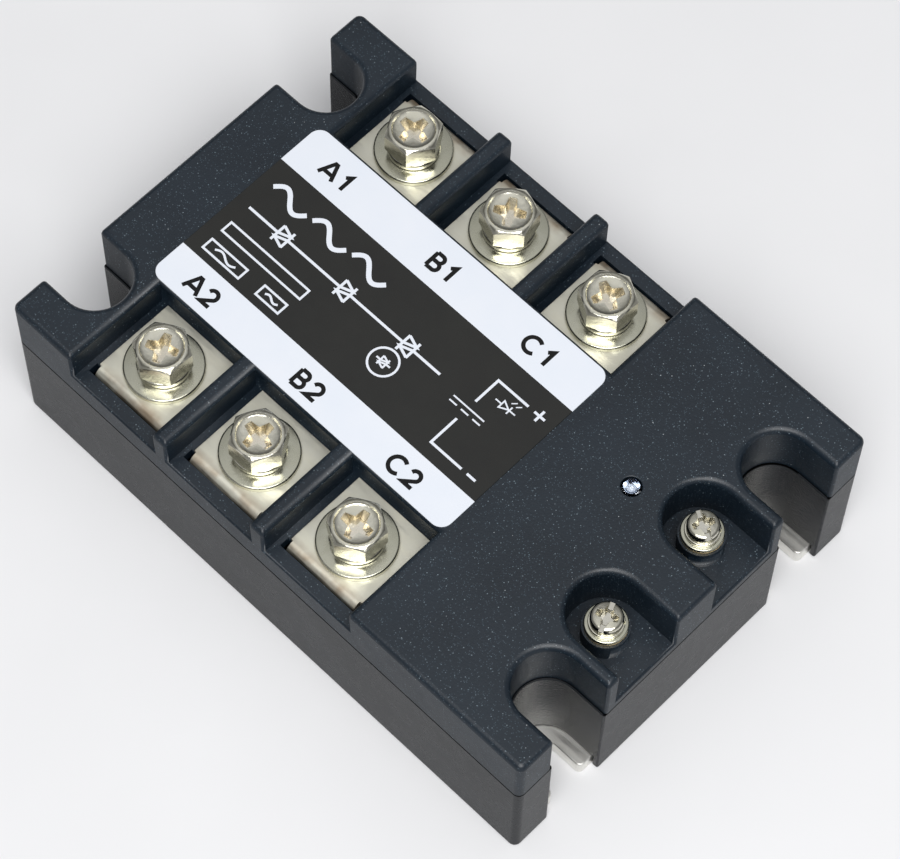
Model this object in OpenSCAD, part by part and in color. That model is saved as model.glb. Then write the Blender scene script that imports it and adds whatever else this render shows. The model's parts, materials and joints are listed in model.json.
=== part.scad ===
// Three-phase solid state relay with six power screws and two control screws.
// Origin: centre of the mounting face. +X runs to the control end, +Y to the A1-B1-C1 row,
// +Z up from the heat sink. Millimetres.

/* [Case] */
// Length of the case along X
case_l = 105; // [104.6:0.2:107]
// Width of the case along Y
case_w = 73; // [72.8:0.2:74.6]
// Height of the moulded case above the mounting face
case_h = 31.4; // [31:0.2:33]
// Height of the joint between housing and cover
parting_z = 21; // [20.6:0.2:21.2]
// Wall thickness of the housing and the cover
wall = 2; // [1.8:0.1:2.1]
// Radius of the upright outer corners
corner_r = 1.2; // [0.8:0.1:1.6]

/* [Mounting slots] */
// Distance between the two slot rows across the case
slot_pitch_y = 48.4; // [48:0.1:48.8]
// Radius of the round bottom of each notch in the cover
notch_r = 5.65; // [5.4:0.05:5.7]
// How much narrower the notches are in the housing, on each side
notch_step = 0.3; // [0:0.05:0.4]
// X of the notch centres at the plain end
notch_x_back = -47.4; // [-47.8:0.1:-47.2]
// X of the notch centres at the control end
notch_x_front = 46.4; // [46.2:0.1:47]
// Width of the screw slots in the base plate
plate_slot_w = 5.7; // [5.1:0.1:5.9]
// X of the round bottoms of the screw slots in the base plate
plate_slot_x = 46.4; // [46:0.1:47]
// Rounding of the corners at the mouths of the screw slots
mouth_r = 0.9; // [0.3:0.1:1.2]

/* [Base plate] */
// Length of the base plate
plate_l = 102.4; // [102:0.1:102.4]
// Width of the base plate
plate_w = 70.4; // [70:0.1:70.4]
// Thickness of the base plate
plate_t = 3; // [2.5:0.1:3]

/* [Terminal bays] */
// Distance from bay to bay
bay_pitch = 20.3; // [20.2:0.05:20.4]
// Width of one bay
bay_w = 17.45; // [17.2:0.05:17.6]
// X of the middle bay's centre
bay_mid_x = -10.75; // [-10.9:0.05:-10.6]
// Width of the raised block between the two rows of bays
block_w = 36.4; // [36:0.1:36.6]
// Height of the bay floors
bay_floor_z = 25.5; // [25.3:0.1:25.7]

/* [Power terminals] */
// Height of the upper face of the terminal strips
tab_z = 26; // [25.8:0.1:26.2]
// Thickness of the terminal strips
tab_t = 1; // [0.8:0.1:1]
// Width of the upper part of a terminal strip
tab_w = 14.6; // [14:0.1:14.8]
// Width of a terminal strip's leg
leg_w = 11.7; // [10:0.1:12]
// Distance from the centre line to the outer face of a leg
leg_y = 33.8; // [33.6:0.1:33.9]
// Outer bend radius of the terminal strips
bend_r = 1.5; // [1.3:0.1:1.6]

/* [Power screws] */
// Distance from the middle of the screw rows to each row
screw_y = 26.35; // [26.2:0.05:26.5]
// Shift of both screw rows towards the A1-B1-C1 side
row_shift_y = 0.4; // [0.3:0.05:0.5]
// Radius of the M5 thread
screw_r = 2.45; // [2.4:0.01:2.46]
// Length of the screw under its head
screw_l = 12; // [11:0.5:12]
// Width across the flats of head and nut
hex_af = 8; // [7.8:0.05:8]
// Height of the hexagon head
head_h = 4.3; // [3.8:0.1:4.5]
// Outer radius of the flat washers
washer_r = 6.2; // [5.5:0.1:6.4]
// Thickness of the flat washers
washer_t = 1; // [0.8:0.1:1.1]
// Thickness of the spring washers
spring_t = 1.4; // [1.2:0.1:1.5]

/* [Control terminals] */
// X of the control screws
ctl_x = 44.3; // [44.1:0.1:44.5]
// Distance from the centre line to each control screw
ctl_y = 10.2; // [10.1:0.05:10.3]
// Radius of the round end of each control pocket
pocket_r = 6.05; // [5.9:0.05:6.2]
// Height of the pocket floors
pocket_z = 22.6; // [22.4:0.1:23]
// Radius of the round boss under each control screw
boss_r = 3.6; // [3.4:0.1:3.8]
// Height of the upper face of the control terminals
ctl_z = 26.9; // [26.7:0.1:27]
// Radius of the M3 thread
ctl_screw_r = 1.45; // [1.4:0.01:1.46]
// Length of the control screws under their heads
ctl_screw_l = 8; // [7:0.5:8]
// Radius of the control screw heads
ctl_head_r = 2.5; // [2.3:0.1:2.6]

/* [Label and lamp] */
// Length of the label
label_l = 60.9; // [58:0.1:61]
// Width of the label
label_w = 35.6; // [34:0.1:36]
// Centre of the label along X
label_x = -11.65; // [-11.8:0.05:-11.5]
// Centre of the label along Y
label_y = -0.2; // [-0.3:0.1:0.2]
// Thickness of the label
label_t = 0.15; // [0.1:0.05:0.2]
// X of the status lamp
lamp_x = 33.2; // [32:0.1:34]
// Y of the status lamp
lamp_y = 6.6; // [5.5:0.1:7]
// Radius of the status lamp
lamp_r = 1.5; // [1.4:0.05:1.5]

/* [Hidden] */
$fn = 64;

eps = 0.01;
fit = 0.1;                        // play between pieces that stay together
far = 20;                         // longer than any cut needs to run

notch_y = slot_pitch_y / 2;
cover_in_z = case_h - wall;       // underside of the cover's roof
bay_in_z = bay_floor_z - wall;    // underside of the bay floors
seat_z = tab_z - tab_t;           // where a terminal strip lies on the cover
seat_y = leg_y + 0.2;             // outer edge of a strip's seat
bend_y = leg_y - bend_r;          // where a strip starts to bend down
seat_w = tab_w + 3 * fit;
shoulder_w = tab_w - 0.8;         // width of a strip's outer bend
slot_w = tab_w + 1.1;             // leg slot, open beyond both edges of the strip

nut_h = 4;
nut_z = seat_z - nut_h - fit;
nut_pocket_af = hex_af + 0.3;
well_r = 3;
well_z = 15.8;                    // bottom of the well that clears the screw's end
nut_boss = [12.4, 11];
nut_boss_z = well_z - 0.9;

flat_z = tab_z;
spring_z = flat_z + washer_t;
head_z = spring_z + spring_t;
spring_r = 4.15;
washer_bore_r = 2.65;
chamfer_h = 0.55;                 // height of the turned chamfer on a hexagon head
dish_r = 3.2;
dish_h = 0.35;

ctl_flat_t = 0.6;
ctl_spring_t = 0.7;
ctl_flat_r = 3.3;
ctl_spring_r = 2.75;
ctl_spring_z = ctl_z + ctl_flat_t;
ctl_head_z = ctl_spring_z + ctl_spring_t;
ctl_head_h = 1.9;
post_r = 2.4;
flange_r = 3.3;
flange_t = 0.5;

// hexagon and cross angles of the power screws, in the order a1 b1 c1 a2 b2 c2
hex_turn = [0, -18, 30, 30, 2, 30];
cross_turn = [-4, 31, 63, 25, -6, 10];
// slot angles of the control screws, plus and minus
slot_turn = [-27, 112];

ceramic = [16, 64, 0.7];
pad_t = 0.3;
pad_z = plate_t + ceramic[2] + pad_t;
pad = [14, 27];
pad_gap = 4;                      // distance from the centre line to the pads
foot_y = 26.5;                    // inner end of a terminal strip's foot
chip = [8, 8, 0.3];
chip_x = 2.5;
chip_y = 10;
chip_z = pad_z + chip[2];

seal_z = 8;
seal_t = 3;
board_z = 13;
board_t = 1.6;
board_top = board_z + board_t;
board = [100.4, 32.2];
ledge = [2, 12, 2];               // shelf that carries each end of the board
gate_pin_r = 0.4;
lamp_base_z = 27.5;
lamp_top_z = case_h + 0.9;

function bay_x(i) = bay_mid_x + (i - 1) * bay_pitch;
function side(i) = i < 3 ? 1 : -1;
function screw_pos(i) = [bay_x(i % 3), side(i) * screw_y + row_shift_y, 0];
// gate pins and sense pins of one phase, from the bay's centre line
pin_places = [[-0.5, 7.5], [0.5, -7.5], [5, 14], [-5, -14]];

module slab(z0, z1) {
  translate([0, 0, z0]) linear_extrude(z1 - z0) children();
}

module each_phase() {
  for (i = [0 : 2]) translate([bay_x(i), 0, 0]) children();
}

module each_side() {
  for (s = [0, 1]) mirror([0, s, 0]) children();
}

module each_power_screw() {
  for (i = [0 : 5]) translate(screw_pos(i)) children();
}

module each_control() {
  for (s = [-1, 1]) translate([ctl_x, s * ctl_y, 0]) children();
}

module each_pin() {
  each_phase() for (p = pin_places) translate(p) children();
}

module round_rect_2d(l, w, r) {
  square([l - 2 * r, w], center = true);
  square([l, w - 2 * r], center = true);
  for (x = [-1, 1], y = [-1, 1])
    translate([x * (l / 2 - r), y * (w / 2 - r)]) circle(r);
}

// a slot of half-width r, round at x and open towards the nearer end of the case
module open_slot_2d(x, r) {
  translate([x, 0]) {
    circle(r);
    translate([x > 0 ? 0 : -far, -r]) square([far, 2 * r]);
  }
}

// the case outline with its four notches, moved inwards by inset; r is the notch radius
module footprint_2d(inset, r = notch_r) {
  difference() {
    round_rect_2d(case_l - 2 * inset, case_w - 2 * inset, max(corner_r - inset, 0.3));
    each_side() translate([0, notch_y]) {
      open_slot_2d(notch_x_back, r + inset);
      open_slot_2d(notch_x_front, r + inset);
    }
  }
}

// the six terminal bays, made larger all round by grow
module bays_2d(grow) {
  each_phase() each_side()
    translate([-bay_w / 2 - grow, block_w / 2 - grow]) square([bay_w + 2 * grow, far]);
}

// the two control pockets, made larger all round by grow
module pockets_2d(grow) {
  each_control() {
    circle(pocket_r + grow);
    translate([0, -pocket_r - grow]) square([far, 2 * (pocket_r + grow)]);
  }
}

// what is taken off the two corners at the mouth of a screw slot
module mouth_corners_2d() {
  for (s = [0, 1]) mirror([0, s, 0])
    translate([plate_l / 2 - mouth_r, plate_slot_w / 2 + mouth_r]) difference() {
      translate([0, -mouth_r - eps]) square(mouth_r + eps);
      circle(mouth_r);
    }
}

module base_plate() color("gainsboro") slab(0, plate_t) difference() {
  round_rect_2d(plate_l, plate_w, corner_r);
  each_side() translate([0, notch_y]) for (e = [0, 1]) mirror([e, 0, 0]) {
    open_slot_2d(plate_slot_x, plate_slot_w / 2);
    mouth_corners_2d();
  }
}

module lower_housing() color([0.18, 0.2, 0.22]) {
  rim_z = 0.2;                    // the plate stands proud of the housing by this much
  difference() {
    slab(rim_z, parting_z) footprint_2d(0, notch_r - notch_step);
    slab(-eps, plate_t) round_rect_2d(plate_l + 2 * fit, plate_w + 2 * fit, corner_r);
    slab(plate_t - eps, parting_z + eps) footprint_2d(wall);
  }
  for (s = [0, 1]) mirror([s, 0, 0])
    translate([case_l / 2 - wall - ledge[0], -ledge[1] / 2, board_z - ledge[2]])
      cube([ledge[0] + eps, ledge[1], ledge[2]]);
}

module cover_shell() {
  difference() {
    union() {
      slab(parting_z, bay_floor_z) footprint_2d(0);
      slab(parting_z, case_h) difference() {
        footprint_2d(0);
        bays_2d(0);
      }
    }
    slab(pocket_z, case_h + eps) pockets_2d(0);
    difference() {
      union() {
        slab(parting_z - eps, bay_in_z) footprint_2d(wall);
        slab(parting_z - eps, cover_in_z) difference() {
          footprint_2d(wall);
          bays_2d(wall);
        }
      }
      slab(parting_z - 2 * eps, case_h) pockets_2d(wall);
    }
  }
  each_power_screw() translate([0, 0, nut_boss_z]) linear_extrude(bay_in_z + eps - nut_boss_z)
    square(nut_boss, center = true);
  each_control() slab(pocket_z - eps, ctl_z - flange_t) circle(boss_r);
}

module top_cover() color([0.19, 0.22, 0.26]) difference() {
  cover_shell();
  // seats and leg slots of the terminal strips
  each_phase() each_side() {
    slab(seat_z, case_h) translate([-seat_w / 2, block_w / 2]) square([seat_w, seat_y - block_w / 2]);
    slab(parting_z - eps, case_h)
      translate([-slot_w / 2, bend_y - fit]) square([slot_w, seat_y - bend_y + fit]);
  }
  // nut pockets and the wells under them
  each_power_screw() {
    translate([0, 0, nut_z]) cylinder(r = nut_pocket_af / sqrt(3), h = nut_h + 2 * fit, $fn = 6);
    translate([0, 0, well_z]) cylinder(r = well_r, h = nut_z - well_z + eps);
  }
  each_control() translate([0, 0, parting_z - eps]) cylinder(r = post_r + 0.05, h = case_h);
  translate([lamp_x, lamp_y, cover_in_z - eps]) cylinder(r = lamp_r + fit, h = wall + 2 * eps);
}

module label() color([0.95, 0.96, 1]) slab(case_h, case_h + label_t)
  translate([label_x, label_y]) round_rect_2d(label_l, label_w, 2);

module epoxy_seal() color([0.25, 0.16, 0.12]) slab(seal_z, seal_z + seal_t) difference() {
  footprint_2d(wall + fit);
  each_phase() each_side() translate([-leg_w / 2 - fit, leg_y - tab_t - fit])
    square([leg_w + 2 * fit, tab_t + 2 * fit]);
  each_pin() circle(gate_pin_r + fit);
}

module ceramic_board(i) color("white")
  translate([bay_x(i), 0, plate_t + ceramic[2] / 2]) cube(ceramic, center = true);

module copper_pads() color([0.8, 0.5, 0.3]) each_phase() each_side()
  translate([-pad[0] / 2, pad_gap, pad_z - pad_t]) cube([pad[0], pad[1], pad_t]);

module thyristor_chips() color([0.45, 0.47, 0.5]) each_phase() for (s = [-1, 1])
  translate([s * -chip_x, s * chip_y, pad_z + chip[2] / 2]) cube(chip, center = true);

// a clip from the top of each chip across the gap to the other pad
module jumper_clips() color([0.8, 0.5, 0.3]) each_phase() for (turn = [0, 180])
  rotate(turn) translate([-5, 0, 0]) rotate([90, 0, 90]) translate([0, 0, -1.25])
    linear_extrude(2.5) polygon([
      [-9, pad_z], [-5, pad_z], [-4, pad_z + 1.2], [7, pad_z + 1.2], [8, chip_z], [12, chip_z],
      [12, chip_z + 0.5], [8.3, chip_z + 0.5], [7.3, pad_z + 1.7], [-4.3, pad_z + 1.7],
      [-5.3, pad_z + 0.5], [-9, pad_z + 0.5]
    ]);

module circuit_board() color([0.1, 0.4, 0.25]) slab(board_z, board_top) difference() {
  square(board, center = true);
  each_pin() circle(gate_pin_r + 0.05);
  each_control() circle(post_r / 2 + 0.05);
  translate([lamp_x, lamp_y]) for (s = [-1, 1]) translate([s * 1.27, 0]) circle(0.4);
}

module gate_pins() color("gold") each_pin()
  translate([0, 0, chip_z]) cylinder(r = gate_pin_r, h = board_top + 1.2 - chip_z);

// one six-legged optocoupler on each phase's centre line
module optocouplers() color([0.12, 0.12, 0.12]) each_phase() {
  translate([-4.4, -3.2, board_top + 0.6]) cube([8.8, 6.4, 3.4]);
  for (x = [-2.54, 0, 2.54], y = [-3.7, 3.2])
    translate([x - 0.6, y, board_top]) cube([1.2, 0.5, 2.2]);
}

module gate_resistors() color([0.75, 0.65, 0.5]) each_phase() for (x = [-7.2, 7.2])
  translate([x, 0, board_top + 1.6]) {
    rotate([90, 0, 0]) cylinder(r = 1.15, h = 6.2, center = true);
    rotate([90, 0, 0]) cylinder(r = 0.3, h = 10, center = true);
    for (y = [-4.7, 4.7]) translate([0, y, -1.6]) cylinder(r = 0.3, h = 1.6);
  }

module snubber_capacitors() color([0.7, 0.15, 0.1]) each_phase()
  translate([-3.6, -13.2, board_top]) cube([9, 4.2, 8]);

module current_regulator() color([0.12, 0.12, 0.12]) translate([26, -8, board_top]) {
  intersection() {
    translate([0, 0, 2.5]) cylinder(r = 2.4, h = 4.6);
    translate([-2.4, -2.4, 0]) cube([4.8, 3.8, far]);
  }
  for (x = [-1.27, 0, 1.27]) translate([x - 0.2, -0.2, 0]) cube([0.4, 0.4, 3]);
}

module protection_diode() color([0.12, 0.12, 0.12]) translate([26, 2, board_top + 1.6]) {
  rotate([0, 90, 0]) cylinder(r = 1.35, h = 5, center = true);
  rotate([0, 90, 0]) cylinder(r = 0.35, h = 9, center = true);
  for (x = [-4.1, 4.1]) translate([x, 0, -1.6]) cylinder(r = 0.35, h = 1.6);
}

module status_lamp() color([0.85, 0.9, 1, 0.6]) translate([lamp_x, lamp_y, 0]) {
  translate([0, 0, lamp_base_z]) cylinder(r = lamp_r + 0.35, h = 1);
  translate([0, 0, lamp_base_z]) cylinder(r = lamp_r, h = lamp_top_z - lamp_r - lamp_base_z);
  translate([0, 0, lamp_top_z - lamp_r]) sphere(lamp_r);
}

module lamp_leads() color("silver") translate([lamp_x, lamp_y, board_z]) for (s = [-1, 1])
  translate([s * 1.27 - 0.25, -0.25, 0]) cube([0.5, 0.5, lamp_base_z - board_z]);

// quarter of a ring, in the quadrant where both coordinates are positive
module quarter_ring_2d() {
  intersection() {
    difference() {
      circle(bend_r);
      circle(bend_r - tab_t);
    }
    square(bend_r);
  }
}

// side view of a strip's outer bend with its short shoulder, across Y and up Z
module shoulder_profile_2d() {
  drop = 1.2;
  translate([bend_y - eps, seat_z]) square([eps, tab_t]);
  translate([bend_y, tab_z - bend_r]) quarter_ring_2d();
  translate([leg_y - tab_t, tab_z - bend_r - drop]) square([tab_t, drop]);
}

// side view of a strip's leg, lower bend and foot
module leg_profile_2d() {
  low_z = pad_z + bend_r;
  translate([leg_y - tab_t, low_z]) square([tab_t, tab_z - bend_r - low_z]);
  translate([bend_y, low_z]) mirror([0, 1]) quarter_ring_2d();
  translate([foot_y, pad_z]) square([bend_y - foot_y, tab_t]);
}

// turns a side view into a solid of width w, centred on the strip
module across(w) {
  rotate([90, 0, 90]) translate([0, 0, -w / 2]) linear_extrude(w) children();
}

module terminal(i) color([0.82, 0.8, 0.72]) difference() {
  translate([bay_x(i % 3), 0, 0]) mirror([0, side(i) < 0 ? 1 : 0, 0]) {
    translate([-tab_w / 2, block_w / 2 + fit, seat_z])
      cube([tab_w, bend_y - block_w / 2 - fit, tab_t]);
    across(shoulder_w) shoulder_profile_2d();
    across(leg_w) leg_profile_2d();
  }
  translate(screw_pos(i)) translate([0, 0, seat_z - eps]) cylinder(r = washer_bore_r, h = tab_t + 2 * eps);
}

module terminal_nuts() color([0.8, 0.78, 0.7]) each_power_screw() translate([0, 0, nut_z + fit / 2])
  difference() {
    cylinder(r = hex_af / sqrt(3), h = nut_h, $fn = 6);
    translate([0, 0, -eps]) cylinder(r = screw_r + 0.05, h = nut_h + 2 * eps);
  }

// a flat ring; split opens it with one narrow cut, as in a spring washer
module washer(r, bore, t, split = 0) {
  difference() {
    cylinder(r = r, h = t);
    translate([0, 0, -eps]) cylinder(r = bore, h = t + 2 * eps);
    if (split > 0) rotate(35) translate([0, -split / 2, -eps]) cube([r + eps, split, t + 2 * eps]);
  }
}

module flat_washer(i) color([0.84, 0.83, 0.78]) translate(screw_pos(i)) translate([0, 0, flat_z])
  washer(washer_r, washer_bore_r, washer_t);

module spring_washer(i) color([0.8, 0.79, 0.74]) translate(screw_pos(i)) translate([0, 0, spring_z])
  washer(spring_r, washer_bore_r, spring_t, 0.6);

// cross recess of width w and reach r, cut down by depth from z = 0
module cross_cut(r, w, depth) {
  for (turn = [0, 90]) rotate(turn) translate([-r, -w / 2, -depth]) cube([2 * r, w, depth + eps]);
}

module power_screw(i) color([0.86, 0.85, 0.8]) translate(screw_pos(i)) difference() {
  union() {
    intersection() {
      translate([0, 0, head_z]) rotate(hex_turn[i])
        cylinder(r = hex_af / sqrt(3), h = head_h, $fn = 6);
      union() {
        translate([0, 0, head_z]) cylinder(r = hex_af, h = head_h - chamfer_h);
        translate([0, 0, head_z + head_h - chamfer_h])
          cylinder(r1 = hex_af / 2 + 2 * chamfer_h, r2 = hex_af / 2 - fit, h = chamfer_h);
      }
    }
    translate([0, 0, head_z - screw_l]) cylinder(r = screw_r, h = screw_l + eps);
  }
  translate([0, 0, head_z + head_h - dish_h]) cylinder(r = dish_r, h = dish_h + eps);
  translate([0, 0, head_z + head_h - dish_h]) rotate(cross_turn[i]) cross_cut(2.3, 0.95, 2);
}

module control_terminal(s) color([0.82, 0.75, 0.5]) translate([ctl_x, s * ctl_y, 0]) difference() {
  union() {
    translate([0, 0, ctl_z - flange_t]) cylinder(r = flange_r, h = flange_t);
    translate([0, 0, board_top]) cylinder(r = post_r, h = ctl_z - flange_t - board_top + eps);
    translate([0, 0, board_z - 1]) cylinder(r = post_r / 2, h = board_t + 1 + eps);
  }
  translate([0, 0, ctl_head_z - ctl_screw_l - 1]) cylinder(r = ctl_screw_r + 0.05, h = far);
}

module control_flat_washer(s) color([0.84, 0.83, 0.78]) translate([ctl_x, s * ctl_y, ctl_z])
  washer(ctl_flat_r, ctl_screw_r + 0.15, ctl_flat_t);

module control_spring_washer(s) color([0.8, 0.79, 0.74]) translate([ctl_x, s * ctl_y, ctl_spring_z])
  washer(ctl_spring_r, ctl_screw_r + 0.15, ctl_spring_t, 0.4);

module control_screw(s) color([0.86, 0.85, 0.8]) translate([ctl_x, s * ctl_y, ctl_head_z]) {
  difference() {
    union() {
      cylinder(r = ctl_head_r, h = ctl_head_h - 0.4);
      translate([0, 0, ctl_head_h - 0.4]) cylinder(r1 = ctl_head_r, r2 = ctl_head_r - 0.5, h = 0.4);
      translate([0, 0, -ctl_screw_l]) cylinder(r = ctl_screw_r, h = ctl_screw_l + eps);
    }
    translate([0, 0, ctl_head_h]) rotate(slot_turn[s > 0 ? 0 : 1]) {
      cross_cut(1.5, 0.7, 1.3);
      translate([-far / 2, -0.35, -0.8]) cube([far, 0.7, 1]);
    }
  }
}

base_plate();
lower_housing();
top_cover();
label();
epoxy_seal();
ceramic_board(0);  // ceramic_a
ceramic_board(1);  // ceramic_b
ceramic_board(2);  // ceramic_c
copper_pads();
thyristor_chips();
jumper_clips();
circuit_board();
gate_pins();
optocouplers();
gate_resistors();
snubber_capacitors();
current_regulator();
protection_diode();
status_lamp();
lamp_leads();
terminal(0);  // terminal_a1
terminal(1);  // terminal_b1
terminal(2);  // terminal_c1
terminal(3);  // terminal_a2
terminal(4);  // terminal_b2
terminal(5);  // terminal_c2
terminal_nuts();
flat_washer(0);  // flat_washer_a1
flat_washer(1);  // flat_washer_b1
flat_washer(2);  // flat_washer_c1
flat_washer(3);  // flat_washer_a2
flat_washer(4);  // flat_washer_b2
flat_washer(5);  // flat_washer_c2
spring_washer(0);  // spring_washer_a1
spring_washer(1);  // spring_washer_b1
spring_washer(2);  // spring_washer_c1
spring_washer(3);  // spring_washer_a2
spring_washer(4);  // spring_washer_b2
spring_washer(5);  // spring_washer_c2
power_screw(0);  // screw_a1
power_screw(1);  // screw_b1
power_screw(2);  // screw_c1
power_screw(3);  // screw_a2
power_screw(4);  // screw_b2
power_screw(5);  // screw_c2
control_terminal(1);  // control_terminal_plus
control_terminal(-1);  // control_terminal_minus
control_flat_washer(1);  // control_flat_washer_plus
control_flat_washer(-1);  // control_flat_washer_minus
control_spring_washer(1);  // control_spring_washer_plus
control_spring_washer(-1);  // control_spring_washer_minus
control_screw(1);  // control_screw_plus
control_screw(-1);  // control_screw_minus
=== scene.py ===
"""Looks of a three-phase solid state relay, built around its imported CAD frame.

Lengths are millimetres in the frame's own axes until piece() turns them into metres: +X runs to the
control end, +Y to the A1-B1-C1 row and +Z up from the heat sink.
"""
import json
import math
import bmesh
import bpy
from mathutils import Matrix, Vector
from mathutils.bvhtree import BVHTree


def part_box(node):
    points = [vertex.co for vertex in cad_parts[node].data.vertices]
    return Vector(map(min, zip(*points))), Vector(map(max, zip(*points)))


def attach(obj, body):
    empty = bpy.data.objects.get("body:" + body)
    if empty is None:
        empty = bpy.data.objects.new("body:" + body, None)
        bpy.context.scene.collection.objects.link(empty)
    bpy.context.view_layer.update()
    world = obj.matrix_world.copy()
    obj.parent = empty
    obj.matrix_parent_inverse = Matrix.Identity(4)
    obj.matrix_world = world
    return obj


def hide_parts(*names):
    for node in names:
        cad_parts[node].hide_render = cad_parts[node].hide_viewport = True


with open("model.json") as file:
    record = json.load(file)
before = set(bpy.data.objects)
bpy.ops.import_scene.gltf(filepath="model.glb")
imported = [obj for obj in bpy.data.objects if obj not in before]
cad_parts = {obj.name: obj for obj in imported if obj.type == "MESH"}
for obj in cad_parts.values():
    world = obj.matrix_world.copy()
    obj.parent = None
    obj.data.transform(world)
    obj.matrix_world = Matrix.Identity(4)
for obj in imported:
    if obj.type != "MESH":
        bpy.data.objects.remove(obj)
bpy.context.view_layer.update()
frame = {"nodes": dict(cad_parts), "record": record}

MM = 0.001
NODES = frame["nodes"]
SUBPARTS = {s["node"]: s["material_slot"] for s in frame["record"]["subparts"]}
BEHAVIOUR = frame["record"]["behaviour"]
BODY_OF = {node: body for body, nodes in BEHAVIOUR["bodies"].items() for node in nodes}
TURN = math.tau


def span(node):
    """Lowest and highest corner of a CAD node, in millimetres."""
    low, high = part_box(node)
    return Vector(low) / MM, Vector(high) / MM


def middle(node):
    low, high = span(node)
    return (low + high) / 2


CASE_HIGH = span("top_cover")[1]
LABEL_LOW, LABEL_HIGH = span("label")
PARTING_Z = span("lower_housing")[1].z
STRIP_EDGE_Y = span("terminal_a1")[1].y
LAMP_PLACE = middle("status_lamp").xy
NOTCH_X = 40.5    # the mounting notches lie beyond this on both ends
NOTCH_Y = 24.2    # their centre lines
NOTCH_R = 5.65    # half their width
SIDES = 60        # points on each ring of a screw

# roundings of the cover's edges, and of all the housing's
TOP_ROUND = 0.92
UPRIGHT_ROUND = 0.5
SILL_ROUND = 0.22
LAMP_HOLE_ROUND = 0.15
HOUSING_ROUND = 0.34


# ---------------------------------------------------------------- materials


class Paint:
    """A Principled material whose maps are built from procedural nodes in millimetres."""

    def __init__(self, name, rough, metallic=0.0, ior=1.5):
        self.mat = bpy.data.materials.new(name)
        self.mat.use_nodes = True
        self.tree = self.mat.node_tree
        self.shader = self.tree.nodes["Principled BSDF"]
        self.shader.inputs["Metallic"].default_value = metallic
        self.shader.inputs["Roughness"].default_value = rough
        self.shader.inputs["IOR"].default_value = ior
        self.place = self.add("ShaderNodeTexCoord").outputs["Object"]

    def add(self, kind, **settings):
        node = self.tree.nodes.new(kind)
        for key, value in settings.items():
            setattr(node, key, value)
        return node

    def put(self, socket, value):
        if hasattr(value, "is_output"):
            self.tree.links.new(value, socket)
        else:
            socket.default_value = value

    def stretched(self, size, stretch=(1, 1, 1)):
        """Object coordinates scaled so that one unit is size millimetres, longer where stretch is."""
        node = self.add("ShaderNodeVectorMath", operation="MULTIPLY")
        self.put(node.inputs[0], self.place)
        node.inputs[1].default_value = [1 / (MM * size * s) for s in stretch]
        return node.outputs[0]

    def noise(self, size, detail, stretch=(1, 1, 1)):
        node = self.add("ShaderNodeTexNoise")
        self.put(node.inputs["Vector"], self.stretched(size, stretch))
        node.inputs["Scale"].default_value = 1.0
        node.inputs["Detail"].default_value = detail
        node.inputs["Roughness"].default_value = 0.55
        return node.outputs["Fac"]

    def cells(self, size):
        node = self.add("ShaderNodeTexVoronoi")
        self.put(node.inputs["Vector"], self.stretched(size))
        node.inputs["Scale"].default_value = 1.0
        return node.outputs["Distance"], node.outputs["Color"]

    def axis(self, which):
        """One object coordinate in millimetres."""
        node = self.add("ShaderNodeSeparateXYZ")
        self.put(node.inputs[0], self.stretched(1))
        return node.outputs[which]

    def part(self, colour, which):
        node = self.add("ShaderNodeSeparateColor")
        self.put(node.inputs[0], colour)
        return node.outputs[which]

    def math(self, operation, a, b=0.0, clamp=False):
        node = self.add("ShaderNodeMath", operation=operation, use_clamp=clamp)
        self.put(node.inputs[0], a)
        self.put(node.inputs[1], b)
        return node.outputs[0]

    def remap(self, value, low, high, to_low=0.0, to_high=1.0):
        node = self.add("ShaderNodeMapRange")
        for socket, v in zip(node.inputs[:5], (value, low, high, to_low, to_high)):
            self.put(socket, v)
        return node.outputs[0]

    def mix(self, factor, a, b):
        node = self.add("ShaderNodeMix", data_type="RGBA")
        self.put(node.inputs["Factor"], factor)
        for socket, colour in ((node.inputs[6], a), (node.inputs[7], b)):
            self.put(socket, (*colour, 1) if isinstance(colour, tuple) else colour)
        return node.outputs[2]

    def colour(self, value):
        self.put(self.shader.inputs["Base Color"], (*value, 1) if isinstance(value, tuple) else value)

    def rough(self, value):
        self.put(self.shader.inputs["Roughness"], value)

    def bump(self, height, depth, strength=1.0, under=None):
        """Bump whose full height is depth millimetres."""
        node = self.add("ShaderNodeBump")
        node.inputs["Strength"].default_value = strength
        node.inputs["Distance"].default_value = depth * MM
        self.put(node.inputs["Height"], height)
        if under:
            self.put(node.inputs["Normal"], under)
        self.put(self.shader.inputs["Normal"], node.outputs[0])
        return node.outputs[0]


def speckled_plastic(name, base, lighter, rough, grain, glint_specks, gloss=0.5):
    """Moulded plastic with a fine spark texture and sparse pale specks, which are painted glints of that
    texture.
    """
    p = Paint(name, rough, ior=1.5)
    p.shader.inputs["Specular IOR Level"].default_value = gloss
    tone = p.mix(p.remap(p.noise(14, 2), 0.35, 0.65), base, lighter)
    fine = p.mix(p.remap(p.noise(0.45, 2), 0.45, 0.75, 0, 0.5), tone, lighter)
    # each layer paints glints of the spark texture into the colour as small pale dots
    for size, radius, share, (dark, pale) in glint_specks:
        distance, dice = p.cells(size)
        chosen = p.math("GREATER_THAN", p.part(dice, 0), 1 - share)
        dot = p.math("MULTIPLY", p.remap(distance, radius, radius * 0.5), chosen)
        tint = p.mix(p.part(dice, 1), dark, pale)
        fine = p.mix(p.math("MULTIPLY", dot, p.remap(p.part(dice, 2), 0, 1, 0.25, 1)), fine, tint)
    p.colour(fine)
    p.rough(p.remap(p.noise(2.5, 4), 0.3, 0.7, rough - 0.02, rough + 0.02))
    coarse = p.bump(p.noise(0.30, 2), grain, 1.0)
    p.bump(p.noise(0.12, 1), grain * 0.4, 0.6, coarse)
    return p


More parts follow.
